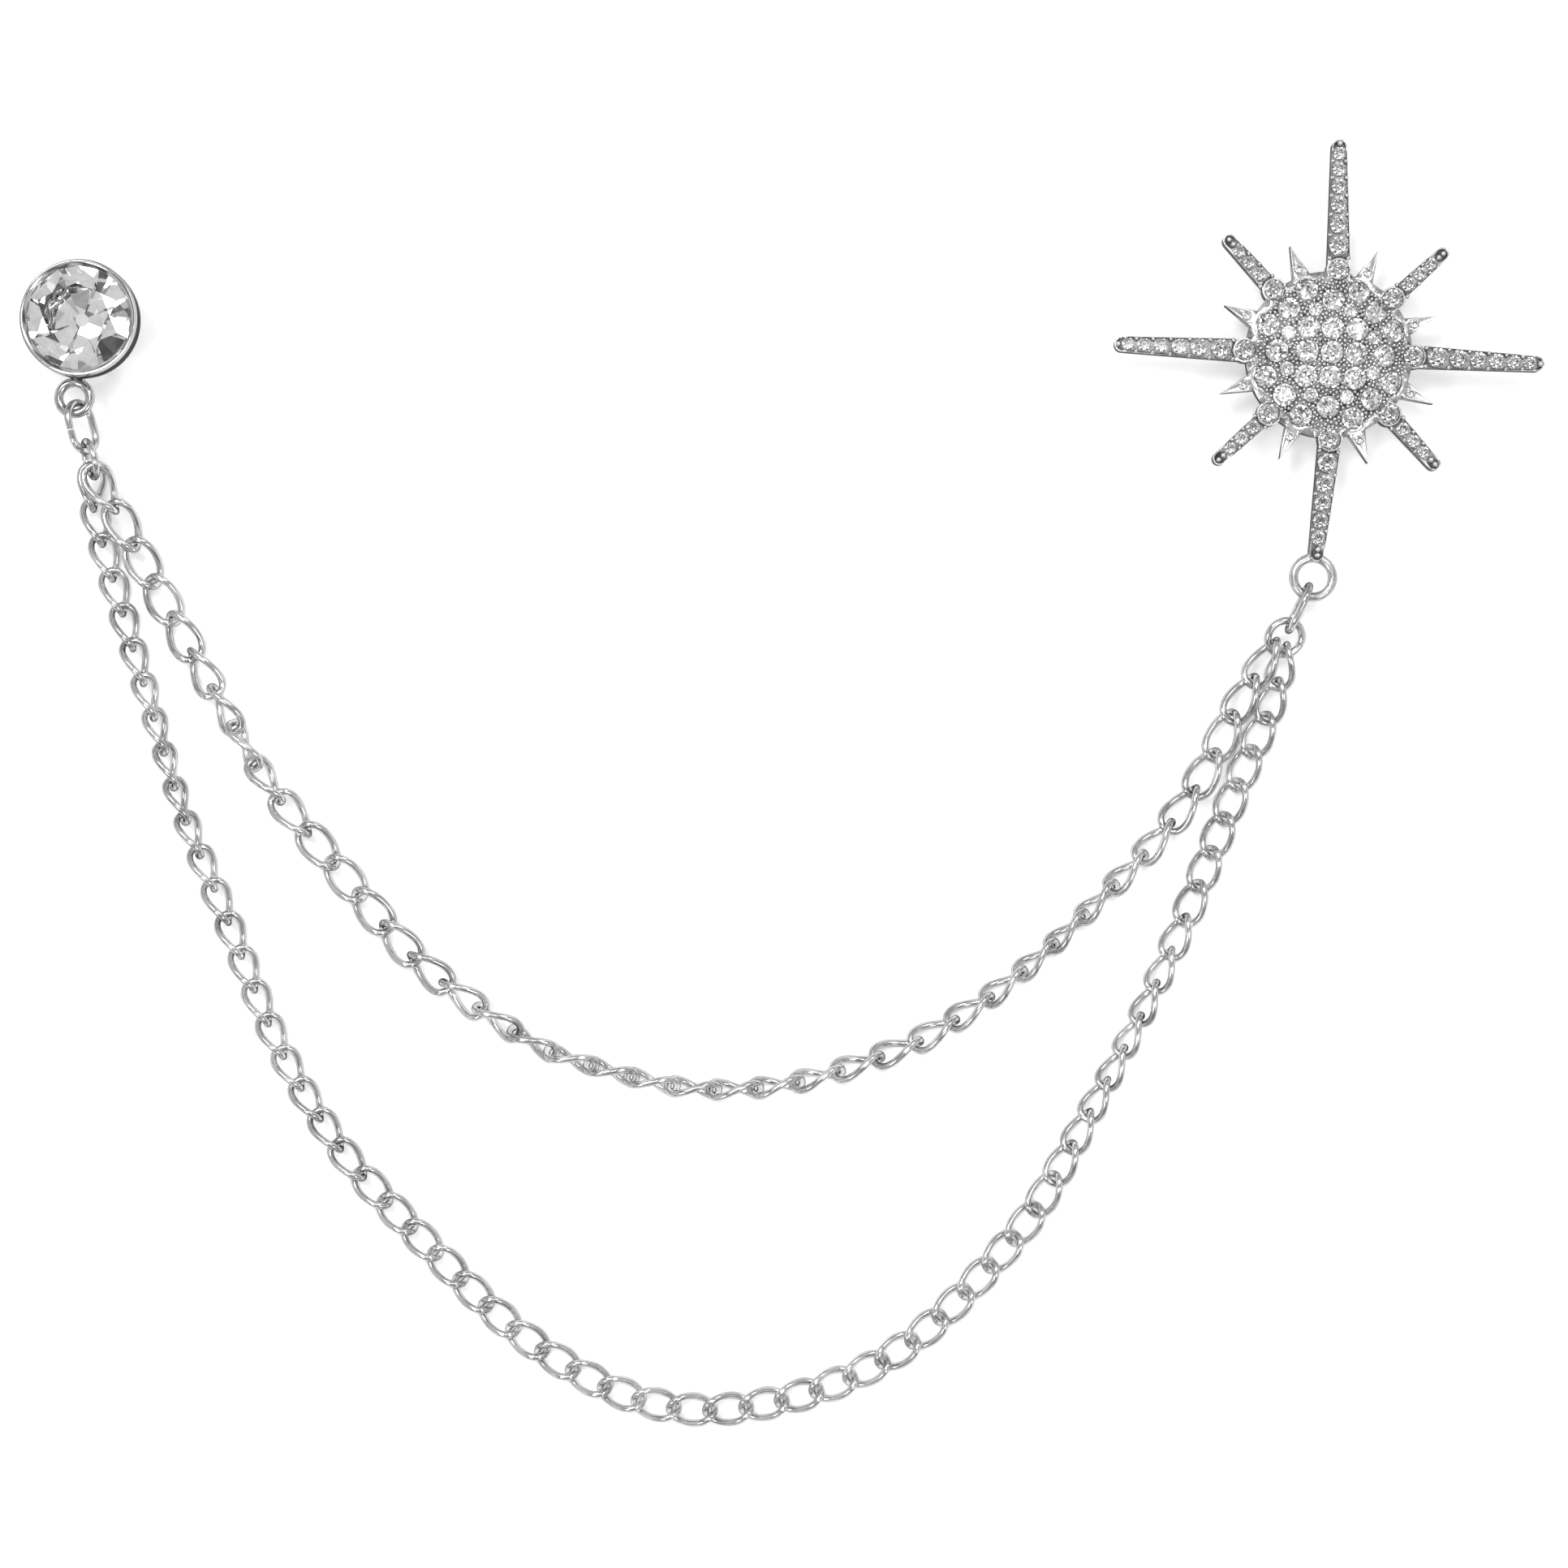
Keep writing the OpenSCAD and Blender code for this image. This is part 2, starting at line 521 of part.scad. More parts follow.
module on_star() {
  translate([star_mid[0], star_mid[1], back_z]) rotate([0, 0, star_turn]) children();
}
module star_body() {
  color(silver) {
    on_star() difference() {
      union() {
        cylinder(r = dome_r, h = dome_rim_h, $fn = round_fn);
        intersection() {
          translate([0, 0, dome_h - dome_ball_r]) sphere(r = dome_ball_r, $fn = round_fn * 2);
          translate([0, 0, dome_rim_h / 2]) cylinder(r = dome_r, h = dome_h, $fn = round_fn);
        }
        for (k = [0:3]) on_ray(long_rays[k]) ray(long_len(k), ray_base_w, ray_tip_w);
        for (k = [0:3]) on_ray(mid_rays[k]) ray(mid_len, mid_base_w, mid_tip_w);
        for (k = [0:7]) rotate([0, 0, 45 * k + 22.5]) spike();
        for (r = concat(long_rays, mid_rays)) on_ray(r) translate([foot_dist, 0, 0])
          cylinder(d = foot_stone_d + 3 * ray_edge, h = ray_h, $fn = fine_fn);
      }
      for (s = dome_seats) seat(s);
      for (s = ray_seats) seat(s);
    }
    translate(star_eye) wire_ring(star_eye_d, eye_wire);
  }
}
module dome_stones() {
  color(crystal) on_star() stones(dome_seats);
}
module ray_stones() {
  color(crystal) on_star() stones(ray_seats);
}
module star_tack() {
  color(silver) translate([star_mid[0], star_mid[1], 0]) tack();
}

stud_cup();
stud_stone();
stud_tack();
stud_joiner();
stud_ring();
outer_chain();
inner_chain();
star_ring();
star_joiner();
star_body();
dome_stones();
ray_stones();
star_tack();
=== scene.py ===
"""Looks of the lapel chain: bright plated metal, foiled cut stones, and a plain white table."""
import math

import bmesh
import bpy
import numpy as np
from mathutils import Matrix, Vector
from mathutils.bvhtree import BVHTree


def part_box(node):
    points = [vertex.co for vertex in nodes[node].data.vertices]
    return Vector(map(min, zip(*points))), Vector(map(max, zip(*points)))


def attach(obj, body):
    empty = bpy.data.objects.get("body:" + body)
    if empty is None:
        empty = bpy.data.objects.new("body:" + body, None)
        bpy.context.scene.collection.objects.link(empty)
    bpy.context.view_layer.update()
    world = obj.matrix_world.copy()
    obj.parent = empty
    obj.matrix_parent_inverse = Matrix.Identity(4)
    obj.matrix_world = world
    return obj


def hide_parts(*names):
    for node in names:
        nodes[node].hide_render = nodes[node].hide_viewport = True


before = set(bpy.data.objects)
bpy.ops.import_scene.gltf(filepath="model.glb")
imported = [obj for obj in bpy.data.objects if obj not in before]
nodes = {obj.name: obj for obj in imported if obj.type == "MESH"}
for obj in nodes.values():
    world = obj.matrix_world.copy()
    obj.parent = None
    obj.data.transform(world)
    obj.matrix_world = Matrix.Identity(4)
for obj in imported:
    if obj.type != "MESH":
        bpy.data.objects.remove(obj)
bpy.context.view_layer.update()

MM = 0.001

# Sizes that the dressed pieces share with the part, in millimetres
OUTER_LINK = {"Length": 5.3, "Width": 3.45, "Wire": 0.68, "Twist": 46}
INNER_LINK = {"Length": 5.95, "Width": 3.75, "Wire": 0.72, "Twist": 46}
RING_D, RING_WIRE = 4.4, 0.76
JOINER_LEN, JOINER_W = 5.75, 4.1
EYE_WIRE = 0.94
STUD_EYE_D, STUD_EYE_GAP, STUD_TAB_W, STUD_WAY = 4.1, 0.25, 1.6, 82
CUP_R, CUP_TAPER, CUP_H, CUP_WALL = 5.93, 0.45, 4.785, 0.62
BACK_Z, EYE_LIFT = 3.2, 0.65
STUD_STONE_D, STUD_STONE_DEPTH = 10.5, 0.33
DOME_H, DOME_BALL_R, DOME_R = 3.7, 16.0755, 8.45
RAY_TOP, RAY_FLOOR = 1.6, 1.4

# Sizes of the dressed pieces alone, in millimetres
STONE_LIFT = 0.15
LIP_GRIP = 0.12
FLOOR_H = 0.2
SPLIT_W = 0.12
DOME_SINK, RAY_SINK = 0.26, 0.2
DOME_EDGE, SINK_SLOPE = 0.7, 0.3
DOME_BEAD_LEAST, DOME_BEAD_MOST, RAY_BEAD_R = 0.11, 0.18, 0.24
END_BEAD_R, END_BEAD_STEP = 0.34, 0.62

# Points of a CAD mesh that lie closer than this are one point, in metres
ONE_POINT = 2e-6
# Squareness of a link's oval, where 1 is an ellipse
OVAL_POWER = 0.8


# ---------- small helpers ----------
def put(tree, kind, settings=None, **inputs):
    """Adds a node, sets its properties, and feeds its inputs with values or sockets."""
    node = tree.nodes.new(kind)
    for name, value in (settings or {}).items():
        setattr(node, name, value)
    for name, value in inputs.items():
        feed(tree, node, name.replace("_", " "), value)
    return node


def feed(tree, node, name, value):
    """Sets one input by its name or number."""
    socket = node.inputs[name]
    if isinstance(value, bpy.types.NodeSocket):
        tree.links.new(value, socket)
    else:
        socket.default_value = value


def maths(tree, operation, *values):
    """A Math node's result."""
    node = put(tree, "ShaderNodeMath", {"operation": operation})
    for i, value in enumerate(values):
        feed(tree, node, i, value)
    return node.outputs[0]


def spread(tree, value, low, high, to_low, to_high):
    """A value mapped from one range to another."""
    node = put(tree, "ShaderNodeMapRange", Value=value)
    for name, number in (("From Min", low), ("From Max", high), ("To Min", to_low), ("To Max", to_high)):
        feed(tree, node, name, number)
    return node.outputs[0]


def new_piece(name, mesh, material=None):
    """An object at the origin that holds a finished mesh."""
    piece = bpy.data.objects.new(name, mesh)
    bpy.context.scene.collection.objects.link(piece)
    if material is not None:
        mesh.materials.clear()
        mesh.materials.append(material)
    return piece


def mesh_of(name, points, faces):
    """A closed mesh with its normals outward, smooth where it bends less than 40 degrees."""
    mesh = bpy.data.meshes.new(name)
    mesh.from_pydata([tuple(p) for p in points], [], [tuple(f) for f in faces])
    bm = bmesh.new()
    bm.from_mesh(mesh)
    bmesh.ops.remove_doubles(bm, verts=bm.verts, dist=1e-7)
    bmesh.ops.recalc_face_normals(bm, faces=bm.faces)
    bm.to_mesh(mesh)
    bm.free()
    shade(mesh, 40)
    return mesh


def shade(mesh, smooth_below):
    """Smooth shading with sharp edges past an angle in degrees."""
    mesh.polygons.foreach_set("use_smooth", [True] * len(mesh.polygons))
    mesh.set_sharp_from_angle(angle=math.radians(smooth_below))


def loose_parts(node):
    """The points of each loose solid of a CAD node, in the order of its mesh."""
    bm = bmesh.new()
    bm.from_mesh(nodes[node].data)
    bmesh.ops.remove_doubles(bm, verts=bm.verts, dist=ONE_POINT)
    seen, parts = set(), []
    for first in bm.verts:
        if first in seen:
            continue
        seen.add(first)
        heap, part = [first], []
        while heap:
            vert = heap.pop()
            part.append(tuple(vert.co))
            for edge in vert.link_edges:
                other = edge.other_vert(vert)
                if other not in seen:
                    seen.add(other)
                    heap.append(other)
        parts.append(np.array(part))
    bm.free()
    return parts


def pose_of(points):
    """Middle of a set of points, and its long, middle and short direction as a turn."""
    middle = points.mean(0)
    _, axes = np.linalg.eigh((points - middle).T @ (points - middle))
    along, across = axes[:, 2], axes[:, 1]
    return middle, np.column_stack([along, across, np.cross(along, across)])


def stone_pose(points):
    """Middle of a stone's widest line, its turn with the table up, and its diameter."""
    middle, axes = pose_of(points)
    up = axes[:, 2]
    height = (points - middle) @ up
    if height.max() > -height.min():
        up, height = -up, -height
    flat = (points - middle) - np.outer(height, up)
    reach = np.linalg.norm(flat, axis=1)
    girdle = np.argsort(-reach)[:8]
    middle = points[girdle].mean(0)
    side = flat[girdle[0]] / reach[girdle[0]]
    return middle, np.column_stack([side, np.cross(up, side), up]), 2 * reach.max()


# ---------- materials ----------
def plated(name, light, dark, edge, polish, cloud, grain, relief):
    """Bright plating: grey and polish that vary from place to place, with a faint grain.

    The greys are those of its light and dark clouds and of its edges seen at a slant.
    """
    material = bpy.data.materials.new(name)
    material.use_nodes = True
    tree = material.node_tree
    metal = tree.nodes["Principled BSDF"]
    metal.inputs["Metallic"].default_value = 1
    metal.inputs["Specular Tint"].default_value = (edge, edge, edge, 1)
    place = put(tree, "ShaderNodeTexCoord").outputs["Object"]
    clouds = put(tree, "ShaderNodeTexNoise", Vector=place, Scale=cloud, Detail=4.0, Roughness=0.6)
    colour = put(tree, "ShaderNodeValToRGB", Fac=clouds.outputs[0])
    for stop, position, grey in zip(colour.color_ramp.elements, (0.35, 0.6), (dark, light)):
        stop.position, stop.color = position, (grey, grey, grey, 1)
    feed(tree, metal, "Base Color", colour.outputs[0])
    fine = put(tree, "ShaderNodeTexNoise", Vector=place, Scale=grain, Detail=3.0, Roughness=0.6)
    feed(tree, metal, "Roughness", spread(tree, fine.outputs[0], 0.3, 0.7, *polish))
    bump = put(tree, "ShaderNodeBump", Strength=relief, Distance=2e-5, Height=fine.outputs[0])
    feed(tree, metal, "Normal", bump.outputs[0])
    return material


def cut_glass(name, light, dark, ior):
    """Clear cut crystal with faint clouding in its polish."""
    material = bpy.data.materials.new(name)
    material.use_nodes = True
    tree = material.node_tree
    glass = tree.nodes["Principled BSDF"]
    glass.inputs["Transmission Weight"].default_value = 1
    glass.inputs["IOR"].default_value = ior
    place = put(tree, "ShaderNodeTexCoord").outputs["Object"]
    clouds = put(tree, "ShaderNodeTexNoise", Vector=place, Scale=700.0, Detail=3.0)
    colour = put(tree, "ShaderNodeValToRGB", Fac=clouds.outputs[0])
    for stop, grey in zip(colour.color_ramp.elements, (dark, light)):
        stop.color = (grey, grey, grey, 1)
    feed(tree, glass, "Base Color", colour.outputs[0])
    feed(tree, glass, "Roughness", spread(tree, clouds.outputs[0], 0.0, 1.0, 0.0, 0.03))
    return material


chain_silver = plated("chain silver", 0.68, 0.47, 0.04, (0.1, 0.22), 260.0, 2600.0, 0.15)
bezel_silver = plated("bezel silver", 0.56, 0.46, 0.1, (0.08, 0.16), 180.0, 1800.0, 0.08)
star_silver = plated("star silver", 0.60, 0.42, 0.1, (0.18, 0.34), 420.0, 3200.0, 0.3)
# A darker copy of the star's silver for its sunk recesses: painted shade, not a different metal.
recess_silver_painted_shade = plated("recess silver with painted shade", 0.42, 0.26, 0.2, (0.3, 0.5), 420.0, 3200.0, 0.3)
# A lighter copy of the star's silver for the raised beads: painted highlight, not a different metal.
bead_silver_painted_highlight = plated("bead silver with painted highlight", 0.72, 0.56, 0.1, (0.12, 0.26), 420.0, 3200.0, 0.2)
back_silver = plated("back silver", 0.60, 0.50, 0.5, (0.2, 0.36), 300.0, 2400.0, 0.3)
foil = plated("stone foil", 0.90, 0.80, 1.0, (0.0, 0.04), 500.0, 2000.0, 0.02)
small_foil = plated("small stone foil", 0.86, 0.56, 1.0, (0.0, 0.08), 1500.0, 4000.0, 0.05)
crystal = cut_glass("cut crystal", 0.99, 0.94 * 0.99, 1.6)


# ---------- repeated pieces, made by node trees ----------
def start_tree(name, inputs):
    """A geometry node tree with its named inputs."""
    tree = bpy.data.node_groups.new(name, "GeometryNodeTree")
    tree.interface.new_socket("Geometry", in_out="OUTPUT", socket_type="NodeSocketGeometry")
    tree.interface.new_socket("Places", in_out="INPUT", socket_type="NodeSocketGeometry")
    for label, kind in inputs:
        tree.interface.new_socket(label, in_out="INPUT", socket_type=kind)
    return tree, tree.nodes.new("NodeGroupInput").outputs


def end_tree(tree, given, thing, sized=True, smooth=True, backed=False):
    """Sets the thing on every marked place, makes it one real mesh and gives it its material."""
    settle = put(tree, "GeometryNodeInstanceOnPoints", Points=given["Places"], Instance=thing)
    turn = put(tree, "GeometryNodeInputNamedAttribute", {"data_type": "FLOAT_VECTOR"}, Name="turn")
    to_turn = put(tree, "FunctionNodeEulerToRotation", Euler=turn.outputs[0])
    feed(tree, settle, "Rotation", to_turn.outputs[0])
    if sized:
        size = put(tree, "GeometryNodeInputNamedAttribute", {"data_type": "FLOAT"}, Name="size")
        feed(tree, settle, "Scale", size.outputs[0])
    real = put(tree, "GeometryNodeRealizeInstances", Geometry=settle.outputs[0]).outputs[0]
    if smooth:
        real = put(tree, "GeometryNodeSetShadeSmooth", Geometry=real).outputs[0]
    real = put(tree, "GeometryNodeSetMaterial", Geometry=real, Material=given["Material"]).outputs[0]
    if backed:
        back = put(tree, "GeometryNodeInputNamedAttribute", {"data_type": "BOOLEAN"}, Name="backed")
        real = put(tree, "GeometryNodeSetMaterial", Geometry=real, Selection=back.outputs[0],
                   Material=given["Foil"]).outputs[0]
    put(tree, "NodeGroupOutput", Geometry=real)
    return tree


def signed_power(tree, value, power):
    """sign(v) * |v| ** power."""
    size = maths(tree, "POWER", maths(tree, "ABSOLUTE", value), power)
    return maths(tree, "MULTIPLY", maths(tree, "SIGN", value), size)


def link_tree():
    """An oval of round wire whose ends are twisted opposite ways, on every marked place."""
    tree, given = start_tree("Chain links", [
        ("Length", "NodeSocketFloat"), ("Width", "NodeSocketFloat"), ("Wire", "NodeSocketFloat"),
        ("Twist", "NodeSocketFloat"), ("Material", "NodeSocketMaterial")])
    circle = put(tree, "GeometryNodeCurvePrimitiveCircle", Resolution=44, Radius=1.0)
    where = put(tree, "GeometryNodeInputPosition")
    split = put(tree, "ShaderNodeSeparateXYZ", Vector=where.outputs[0])
    end = signed_power(tree, split.outputs[0], OVAL_POWER)
    side = signed_power(tree, split.outputs[1], OVAL_POWER)
    half = maths(tree, "MULTIPLY", maths(tree, "SUBTRACT", given["Length"], given["Wire"]), 0.5)
    wide = maths(tree, "MULTIPLY", maths(tree, "SUBTRACT", given["Width"], given["Wire"]), 0.5)
    turn = maths(tree, "MULTIPLY", maths(tree, "MULTIPLY", end, -1.0), maths(tree, "RADIANS", given["Twist"]))
    out = maths(tree, "MULTIPLY", wide, side)
    bent = put(tree, "ShaderNodeCombineXYZ", X=maths(tree, "MULTIPLY", half, end),
               Y=maths(tree, "MULTIPLY", out, maths(tree, "COSINE", turn)),
               Z=maths(tree, "MULTIPLY", out, maths(tree, "SINE", turn)))
    line = put(tree, "GeometryNodeSetPosition", Geometry=circle.outputs[0], Position=bent.outputs[0])
    section = put(tree, "GeometryNodeCurvePrimitiveCircle", Resolution=12)
    feed(tree, section, "Radius", maths(tree, "MULTIPLY", given["Wire"], 0.5))
    link = put(tree, "GeometryNodeCurveToMesh", Curve=line.outputs[0], Profile_Curve=section.outputs[0])
    return end_tree(tree, given, link.outputs[0], sized=False)


def stone_tree():
    """One cut stone on every marked place, with its back foiled."""
    tree, given = start_tree("Set stones", [
        ("Stone", "NodeSocketObject"), ("Material", "NodeSocketMaterial"), ("Foil", "NodeSocketMaterial")])
    stone = put(tree, "GeometryNodeObjectInfo", Object=given["Stone"])
    return end_tree(tree, given, stone.outputs["Geometry"], smooth=False, backed=True)


def bead_tree():
    """One small raised bead on every marked place."""
    tree, given = start_tree("Beads", [("Height", "NodeSocketFloat"), ("Material", "NodeSocketMaterial")])
    ball = put(tree, "GeometryNodeMeshIcoSphere", Subdivisions=2, Radius=1.0)
    flat = put(tree, "ShaderNodeCombineXYZ", X=1.0, Y=1.0, Z=given["Height"])
    squashed = put(tree, "GeometryNodeTransform", Geometry=ball.outputs[0], Scale=flat.outputs[0])
    return end_tree(tree, given, squashed.outputs[0])


def repeat(name, tree, places, turns, sizes, values):
    """Runs a tree over marked places, and keeps the result as a plain mesh."""
    marks = bpy.data.meshes.new(name + " places")
    marks.from_pydata([tuple(p) for p in places], [], [])
    turn = marks.attributes.new("turn", "FLOAT_VECTOR", "POINT")
    euler = [Matrix(t.tolist()).to_euler() for t in turns]
    turn.data.foreach_set("vector", [a for e in euler for a in e])
    size = marks.attributes.new("size", "FLOAT", "POINT")
    size.data.foreach_set("value", list(sizes))
    holder = bpy.data.objects.new(name + " holder", marks)
    bpy.context.scene.collection.objects.link(holder)
    modifier = holder.modifiers.new("Repeat", "NODES")
    modifier.node_group = tree
    for socket in tree.interface.items_tree:
        if socket.in_out == "INPUT" and socket.name in values:
            modifier[socket.identifier] = values[socket.name]
    ready = holder.evaluated_get(bpy.context.evaluated_depsgraph_get())
    mesh = bpy.data.meshes.new_from_object(ready)
    mesh.name = name
    bpy.data.objects.remove(holder)
    for extra in ("turn", "size", "backed"):
        if extra in mesh.attributes:
            mesh.attributes.remove(mesh.attributes[extra])
    return new_piece(name, mesh)


# ---------- chains ----------
def strand(name, node, link):
    """A strand of round-wire links, each where the part has it."""
    poses = [pose_of(part) for part in loose_parts(node)]
    values = {k: v * MM if k != "Twist" else float(v) for k, v in link.items()}
    piece = repeat(name, chain_links, [p for p, _ in poses], [t for _, t in poses],
                   [1.0] * len(poses), {**values, "Material": chain_silver})
    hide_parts(node)
    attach(piece, "root")


chain_links = link_tree()
strand("outer_strand", "outer_chain", OUTER_LINK)
strand("inner_strand", "inner_chain", INNER_LINK)


# ---------- cut stones ----------
def ring(radius, height, count, start):
    """Points round a circle, from a start angle in degrees."""
    return [Vector((radius * math.cos(math.radians(start) + 2 * math.pi * k / count),
                    radius * math.sin(math.radians(start) + 2 * math.pi * k / count), height))
            for k in range(count)]


def brilliant(name, table, star, crown, girdle, pavilion, lower=0, slope=0):
    """A round stone of diameter 1: table, star and kite facets, a thin girdle and a cut back.

    The back has two rows of facets that meet at the lower ring and go down to a point, or eight
    plain mains of the given slope in degrees down to a small flat.
    """
    star_rise, lower_drop = 0.56, 0.62
    bm = bmesh.new()
    top = [bm.verts.new(p) for p in ring(table / 2, girdle + crown, 8, 0)]
    mid = [bm.verts.new(p) for p in ring(star / 2, girdle + star_rise * crown, 8, 22.5)]
    edge = [bm.verts.new(p) for p in ring(0.5, girdle, 16, 0)]
    under = [bm.verts.new(p) for p in ring(0.5, 0, 16, 0)]
    bm.faces.new(top)
    back = []
    if lower:
        low = [bm.verts.new(p) for p in ring(lower / 2, -lower_drop * pavilion, 8, 0)]
        tip = bm.verts.new((0, 0, -pavilion))
    else:
        steep, corner = math.tan(math.radians(slope)), math.cos(math.pi / 8)
        flat = [bm.verts.new(p) for p in ring((0.5 - pavilion / steep) / corner, -pavilion, 8, 22.5)]
        for k in range(8):
            under[2 * k + 1].co.z = -(1 - corner) * 0.5 * steep
        back.append(bm.faces.new(flat))
    for k in range(8):
        n = (k + 1) % 8
        bm.faces.new((top[k], mid[k], top[n]))
        bm.faces.new((top[n], mid[k], edge[2 * n], mid[n]))
        bm.faces.new((mid[k], edge[2 * k + 1], edge[2 * n]))
        bm.faces.new((mid[k], edge[2 * k], edge[2 * k + 1]))
        if lower:
            back.append(bm.faces.new((low[k], under[2 * k], under[2 * k + 1])))
            back.append(bm.faces.new((low[n], under[2 * k + 1], under[2 * n])))
            back.append(bm.faces.new((low[k], under[2 * k + 1], low[n])))
            back.append(bm.faces.new((tip, low[k], low[n])))
        else:
            back.append(bm.faces.new((flat[k - 1], flat[k], under[2 * k + 1], under[2 * k],
                                      under[2 * k - 1])))
    for k in range(16):
        n = (k + 1) % 16
        bm.faces.new((under[k], under[n], edge[n], edge[k]))
    bmesh.ops.recalc_face_normals(bm, faces=bm.faces)
    mesh = bpy.data.meshes.new(name)
    flags = [f in back for f in bm.faces]
    bm.to_mesh(mesh)
    bm.free()
    mark = mesh.attributes.new("backed", "BOOLEAN", "FACE")
    mark.data.foreach_set("value", flags)
    return mesh


def stones(name, node, template, back):
    """Fine stones where the part has plain ones, and the place, turn and size of each."""
    poses = [stone_pose(part) for part in loose_parts(node)]
    cutter = new_piece("stone pattern", template)
    piece = repeat(name, set_stones, [p for p, _, _ in poses], [t for _, t, _ in poses],
                   [d for _, _, d in poses], {"Stone": cutter, "Material": crystal, "Foil": back})
    bpy.data.objects.remove(cutter)
    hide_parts(node)
    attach(piece, "root")
    return poses


set_stones = stone_tree()
small_cut = brilliant("small cut", 0.56, 0.78, 0.15, 0.02, 0.38, lower=0.45)
dome_poses = stones("dome_crystals", "dome_stones", small_cut, foil)
ray_poses = stones("ray_crystals", "ray_stones", small_cut.copy(), small_foil)


# ---------- stud ----------
def lathe(profile, middle, count=96):
    """A turned shape from a profile of (radius, height) that starts and ends on its axis."""
    points, faces = [], []
    for r, z in profile:
        points += [(middle[0] + r * MM * math.cos(2 * math.pi * k / count),
                    middle[1] + r * MM * math.sin(2 * math.pi * k / count),
                    middle[2] + z * MM) for k in range(count)]
    for i in range(len(profile) - 1):
        for k in range(count):
            a, b = i * count + k, i * count + (k + 1) % count
            faces.append((a, b, b + count, a + count))
    return points, faces


def tube(line, radius, closed, sides=16):
    """Round wire along a line of points, with rounded ends where it is open."""
    line = [Vector(p) for p in line]
    n = len(line)
    points, faces, up = [], [], None
    for i in range(n):
        ahead = (line[(i + 1) % n] - line[i - 1]) if closed or 0 < i < n - 1 else (
            line[1] - line[0] if i == 0 else line[-1] - line[-2])
        ahead.normalize()
        if up is None:
            up = ahead.orthogonal()
        up = (up - ahead * up.dot(ahead)).normalized()
        side = ahead.cross(up)
        points += [line[i] + radius * (math.cos(a) * up + math.sin(a) * side)
                   for a in (2 * math.pi * k / sides for k in range(sides))]
    turn = 0
    if closed:
        ahead = (line[1] - line[-1]).normalized()
        first = (points[0] - line[0]).normalized()
        last = (up - ahead * up.dot(ahead)).normalized()
        swing = math.atan2(first.cross(last).dot(ahead), first.dot(last))
        turn = round(swing / (2 * math.pi / sides)) % sides
    for i in range(n if closed else n - 1):
        shift = turn if closed and i == n - 1 else 0
        for k in range(sides):
            a, b = i * sides + k, i * sides + (k + 1) % sides
            c = ((i + 1) % n) * sides
            faces.append((a, b, c + (k + 1 + shift) % sides, c + (k + shift) % sides))
    if not closed:
        faces.append(tuple(reversed(range(sides))))
        faces.append(tuple((n - 1) * sides + k for k in range(sides)))
    return points, faces


def joined(*shapes):
    """Several lists of points and faces as one."""
    points, faces = [], []
    for p, f in shapes:
        faces += [tuple(i + len(points) for i in face) for face in f]
        points += list(p)
    return points, faces


def metal_piece(name, shape, material, node):
    """A metal piece from points and faces, in place of the part's plain one."""
    piece = new_piece(name, mesh_of(name, *shape), material)
    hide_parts(node)
    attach(piece, "root")


low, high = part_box("stud_stone")
stud_mid = Vector(((low.x + high.x) / 2, (low.y + high.y) / 2, BACK_Z * MM))
stone_z = low.z + (STUD_STONE_DEPTH * STUD_STONE_D + STONE_LIFT) * MM
way = Vector((math.cos(math.radians(STUD_WAY)), math.sin(math.radians(STUD_WAY)), 0))
stud_eye = stud_mid - way * (CUP_R - CUP_TAPER + STUD_EYE_D / 2 + STUD_EYE_GAP) * MM
stud_eye.z += EYE_LIFT * MM

stud_cut = brilliant("stud_crystal", 0.64, 0.82, 0.12, 0.02, 0.375, slope=40.5)
stud_cut.transform(Matrix.Scale(STUD_STONE_D * MM, 4))
stud_cut.transform(Matrix.Translation((stud_mid.x, stud_mid.y, stone_z)))
stud_crystal = new_piece("stud_crystal", stud_cut)
stud_cut.materials.append(crystal)
stud_cut.materials.append(foil)
stud_cut.polygons.foreach_set("material_index", [int(m.value) for m in stud_cut.attributes["backed"].data])
stud_cut.attributes.remove(stud_cut.attributes["backed"])
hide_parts("stud_stone")
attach(stud_crystal, "root")


def rounded(corners, steps=6):
    """A profile whose listed corners are rounded by their own radius: (x, y, radius)."""
    out = []
    for i, (x, y, r) in enumerate(corners):
        if r == 0 or i in (0, len(corners) - 1):
            out.append((x, y))
            continue
        here = Vector((x, y))
        back = (Vector(corners[i - 1][:2]) - here).normalized()
        on = (Vector(corners[i + 1][:2]) - here).normalized()
        for s in range(steps + 1):
            t = s / steps
            p = (1 - t) ** 2 * (here + back * r) + 2 * t * (1 - t) * here + t * t * (here + on * r)
            out.append((p.x, p.y))
    return out


cup = lathe(rounded([
    (0, 0, 0), (CUP_R - CUP_TAPER, 0, 0.25), (CUP_R, 2.2, 0.5), (CUP_R, CUP_H - 0.42, 0.12),
    (CUP_R - 0.08, CUP_H - 0.26, 0.04), (CUP_R - 0.16, CUP_H, 0.08), (CUP_R - 0.36, CUP_H - 0.03, 0.08),
    (CUP_R - CUP_WALL - LIP_GRIP, CUP_H - 0.24, 0.04), (CUP_R - CUP_WALL - LIP_GRIP, CUP_H - 0.34, 0.03),
    (CUP_R - CUP_WALL, CUP_H - 0.4, 0), (CUP_R - CUP_WALL, 3.6, 0),
    (1.6, FLOOR_H, 0), (0, FLOOR_H, 0)]), stud_mid, 128)
eye = tube([stud_eye + p for p in ring((STUD_EYE_D - EYE_WIRE) / 2 * MM, 0, 64, 0)], EYE_WIRE / 2 * MM, True)


